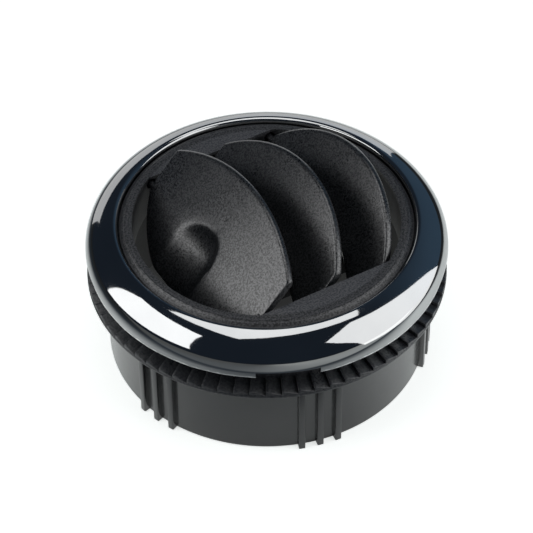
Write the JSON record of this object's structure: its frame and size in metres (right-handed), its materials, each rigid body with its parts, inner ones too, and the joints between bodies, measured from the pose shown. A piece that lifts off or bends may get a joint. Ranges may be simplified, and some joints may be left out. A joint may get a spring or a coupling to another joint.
{
  "type": "round air outlet vent",
  "caption": "Round dashboard air outlet with a bright bezel, toothed flange and ribbed neck; a rotating ring carries linked tilting blades to aim or shut the air flow.",
  "frame": {"origin": "on the vent's axis, at the lower end of the neck", "axes": "+Z along the axis, out of the panel; the blades' hinge lines run along Y, raised edges towards +X"},
  "size_m": [0.0836, 0.0836, 0.0485],
  "materials": {
    "smooth_black_plastic": "satin",
    "chrome_plating": "mirror",
    "grained_black_plastic": "fine spark grain",
    "inner_black_plastic": "plain"
  },
  "bodies": {
    "housing": {"housing": "smooth_black_plastic", "bezel": "chrome_plating"},
    "rotor": {"rotor": "grained_black_plastic"},
    "dimpled_blade": {"dimpled_blade": "grained_black_plastic"},
    "middle_blade": {"middle_blade": "grained_black_plastic"},
    "end_blade": {"end_blade": "grained_black_plastic"},
    "link_bar": {"link_bar": "inner_black_plastic"}
  },
  "joints": [
    {"name": "rotor_turn", "type": "hinge", "parent": "housing", "child": "rotor", "pos_m": [0, 0, 0.033], "axis": [0, 0, 1], "continuous": true},
    {"name": "dimpled_tilt", "type": "hinge", "parent": "rotor", "child": "dimpled_blade", "pos_m": [-0.016, 0, 0.03439], "axis": [0, -1, 0], "range_deg": [-37.5, 40]},
    {"name": "middle_tilt", "type": "hinge", "parent": "rotor", "child": "middle_blade", "pos_m": [0, 0, 0.03439], "axis": [0, -1, 0], "range_deg": [-37.5, 40]},
    {"name": "end_tilt", "type": "hinge", "parent": "rotor", "child": "end_blade", "pos_m": [0.016, 0, 0.03439], "axis": [0, -1, 0], "range_deg": [-37.5, 40]},
    {"name": "link_swing", "type": "hinge", "parent": "dimpled_blade", "child": "link_bar", "pos_m": [-0.016, -0.0117, 0.02489], "axis": [0, -1, 0], "range_deg": [-40, 37.5]}
  ],
  "couplings": [
    {"joint": "middle_tilt", "follows": "dimpled_tilt", "ratio": 1},
    {"joint": "end_tilt", "follows": "dimpled_tilt", "ratio": 1},
    {"joint": "link_swing", "follows": "dimpled_tilt", "ratio": -1}
  ]
}
